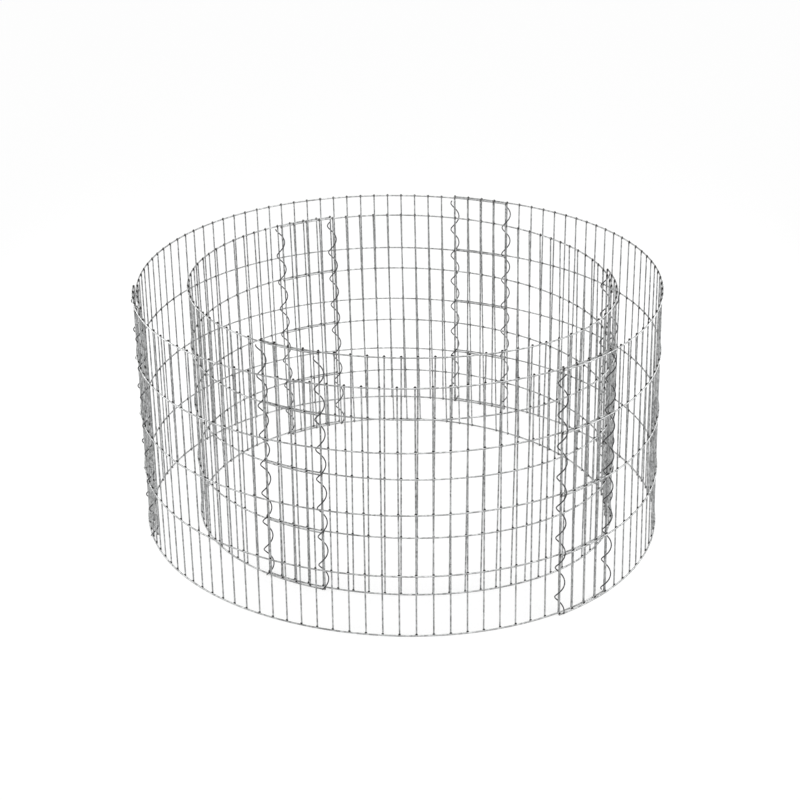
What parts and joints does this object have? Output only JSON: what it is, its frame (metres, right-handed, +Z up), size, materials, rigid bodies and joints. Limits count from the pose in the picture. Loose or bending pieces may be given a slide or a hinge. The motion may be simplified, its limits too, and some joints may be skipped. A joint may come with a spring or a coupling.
{
  "type": "round gabion basket",
  "caption": "Free-standing round gabion basket: an inner and an outer ring of welded wire mesh, each of rolled panels laced together by wire spirals, to be filled with stones or soil.",
  "frame": {"origin": "on the ground, at the centre of the outer ring", "axes": "+Z up, -Y towards the side seen in the picture, +X to the right of it"},
  "size_m": [0.8615, 0.8665, 0.4037],
  "materials": {
    "mesh_wire": "galvanised, dull and lightly spangled",
    "spiral_wire": "galvanised, darker drawn wire"
  },
  "bodies": {
    "root": {"inner_panel_back_right_1": "mesh_wire", "inner_panel_back_right_2": "mesh_wire", "inner_panel_back_right_3": "mesh_wire", "inner_panel_back_right_4": "mesh_wire", "inner_panel_front_1": "mesh_wire", "inner_panel_front_2": "mesh_wire", "inner_panel_front_3": "mesh_wire", "inner_panel_front_4": "mesh_wire", "inner_panel_left_1": "mesh_wire", "inner_panel_left_2": "mesh_wire", "inner_panel_left_3": "mesh_wire", "inner_panel_left_4": "mesh_wire", "inner_spiral_back_1": "spiral_wire", "inner_spiral_back_2": "spiral_wire", "inner_spiral_front_1": "spiral_wire", "inner_spiral_front_2": "spiral_wire", "inner_spiral_right_1": "spiral_wire", "inner_spiral_right_2": "spiral_wire", "outer_panel_back_left_1": "mesh_wire", "outer_panel_back_left_2": "mesh_wire", "outer_panel_back_left_3": "mesh_wire", "outer_panel_back_left_4": "mesh_wire", "outer_panel_back_left_5": "mesh_wire", "outer_panel_front_left_1": "mesh_wire", "outer_panel_front_left_2": "mesh_wire", "outer_panel_front_left_3": "mesh_wire", "outer_panel_front_left_4": "mesh_wire", "outer_panel_front_left_5": "mesh_wire", "outer_panel_right_1": "mesh_wire", "outer_panel_right_2": "mesh_wire", "outer_panel_right_3": "mesh_wire", "outer_panel_right_4": "mesh_wire", "outer_panel_right_5": "mesh_wire", "outer_spiral_back_1": "spiral_wire", "outer_spiral_back_2": "spiral_wire", "outer_spiral_front_1": "spiral_wire", "outer_spiral_front_2": "spiral_wire", "outer_spiral_left_1": "spiral_wire", "outer_spiral_left_2": "spiral_wire"}
  },
  "joints": []
}
